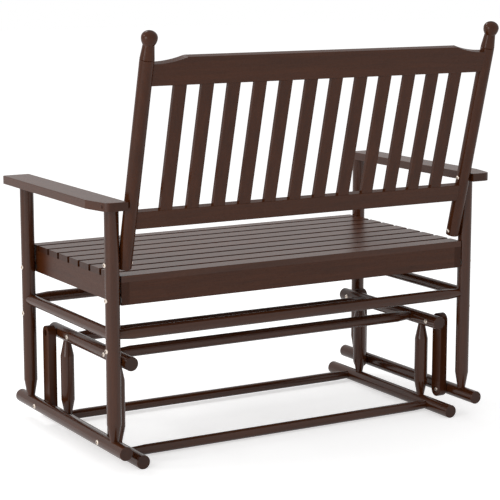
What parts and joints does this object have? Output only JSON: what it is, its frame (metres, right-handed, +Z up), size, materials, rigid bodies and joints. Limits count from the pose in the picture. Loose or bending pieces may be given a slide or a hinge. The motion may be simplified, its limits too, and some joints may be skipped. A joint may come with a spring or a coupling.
{
  "type": "glider swing bench",
  "caption": "Slatted wooden bench with arms and a raked slat back, hung by swing links from a low turned base so that it glides to and fro.",
  "frame": {"origin": "On the floor under the middle of the bench's overall box.", "axes": "+X runs along the bench towards the sitter's left, the sitter faces -Y, +Z is up."},
  "size_m": [1.1004, 0.6984, 1.0111],
  "materials": {
    "stained_wood": "dark brown stained and lacquered, satin to gloss",
    "zinc_plated_steel": "bright zinc plate",
    "bush_plastic": "dark brown moulded nylon"
  },
  "bodies": {
    "base": {"base_rail_left": "stained_wood", "base_rail_right": "stained_wood", "base_runner_left": "stained_wood", "base_runner_right": "stained_wood", "base_spindle_front_left": "stained_wood", "base_spindle_front_right": "stained_wood", "base_spindle_rear_left": "stained_wood", "base_spindle_rear_right": "stained_wood", "base_stretcher_screws": "zinc_plated_steel", "floor_stretcher_front": "stained_wood", "floor_stretcher_rear": "stained_wood", "upper_pivot_bolts": "zinc_plated_steel", "upper_pivot_nuts_and_washers": "zinc_plated_steel", "upper_stretcher_front": "stained_wood", "upper_stretcher_rear": "stained_wood"},
    "link_front_left": {"link_bushes_front_left": "bush_plastic", "swing_link_front_left": "stained_wood"},
    "link_front_right": {"link_bushes_front_right": "bush_plastic", "swing_link_front_right": "stained_wood"},
    "link_rear_left": {"link_bushes_rear_left": "bush_plastic", "swing_link_rear_left": "stained_wood"},
    "link_rear_right": {"link_bushes_rear_right": "bush_plastic", "swing_link_rear_right": "stained_wood"},
    "seat": {"armrest_left": "stained_wood", "armrest_right": "stained_wood", "back_bottom_rail": "stained_wood", "back_post_left": "stained_wood", "back_post_right": "stained_wood", "back_slats": "stained_wood", "back_top_rail": "stained_wood", "barrel_nuts": "zinc_plated_steel", "cross_stretcher_front": "stained_wood", "cross_stretcher_rear": "stained_wood", "front_apron": "stained_wood", "leg_bolts": "zinc_plated_steel", "leg_front_left": "stained_wood", "leg_front_right": "stained_wood", "leg_rear_left": "stained_wood", "leg_rear_right": "stained_wood", "leg_spacers": "bush_plastic", "lower_pivot_bolts": "zinc_plated_steel", "lower_pivot_nuts_and_washers": "zinc_plated_steel", "post_bolts": "zinc_plated_steel", "rear_apron": "stained_wood", "seat_bearer": "stained_wood", "seat_runner_left": "stained_wood", "seat_runner_right": "stained_wood", "seat_slat_1": "stained_wood", "seat_slat_2": "stained_wood", "seat_slat_3": "stained_wood", "seat_slat_4": "stained_wood", "seat_slat_5": "stained_wood", "seat_slat_6": "stained_wood", "seat_slat_7": "stained_wood", "seat_slat_8": "stained_wood", "seat_slat_9": "stained_wood", "side_apron_left": "stained_wood", "side_apron_right": "stained_wood", "side_stretcher_left": "stained_wood", "side_stretcher_right": "stained_wood"}
  },
  "joints": [
    {"name": "glide", "type": "hinge", "parent": "base", "child": "link_front_left", "pos_m": [0.4681, -0.22866, 0.237], "axis": [1, 0, 0], "range_deg": [-18, 18]},
    {"name": "seat_hang", "type": "hinge", "parent": "link_front_left", "child": "seat", "pos_m": [0.4681, -0.22866, 0.052], "axis": [1, 0, 0], "range_deg": [-18, 18]},
    {"name": "link_swing_front_right", "type": "hinge", "parent": "base", "child": "link_front_right", "pos_m": [-0.4681, -0.22866, 0.237], "axis": [1, 0, 0], "range_deg": [-18, 18]},
    {"name": "link_swing_rear_left", "type": "hinge", "parent": "base", "child": "link_rear_left", "pos_m": [0.4681, 0.14134, 0.237], "axis": [1, 0, 0], "range_deg": [-18, 18]},
    {"name": "link_swing_rear_right", "type": "hinge", "parent": "base", "child": "link_rear_right", "pos_m": [-0.4681, 0.14134, 0.237], "axis": [1, 0, 0], "range_deg": [-18, 18]}
  ],
  "couplings": [
    {"joint": "seat_hang", "follows": "glide", "ratio": -1},
    {"joint": "link_swing_front_right", "follows": "glide", "ratio": 1},
    {"joint": "link_swing_rear_left", "follows": "glide", "ratio": 1},
    {"joint": "link_swing_rear_right", "follows": "glide", "ratio": 1}
  ]
}
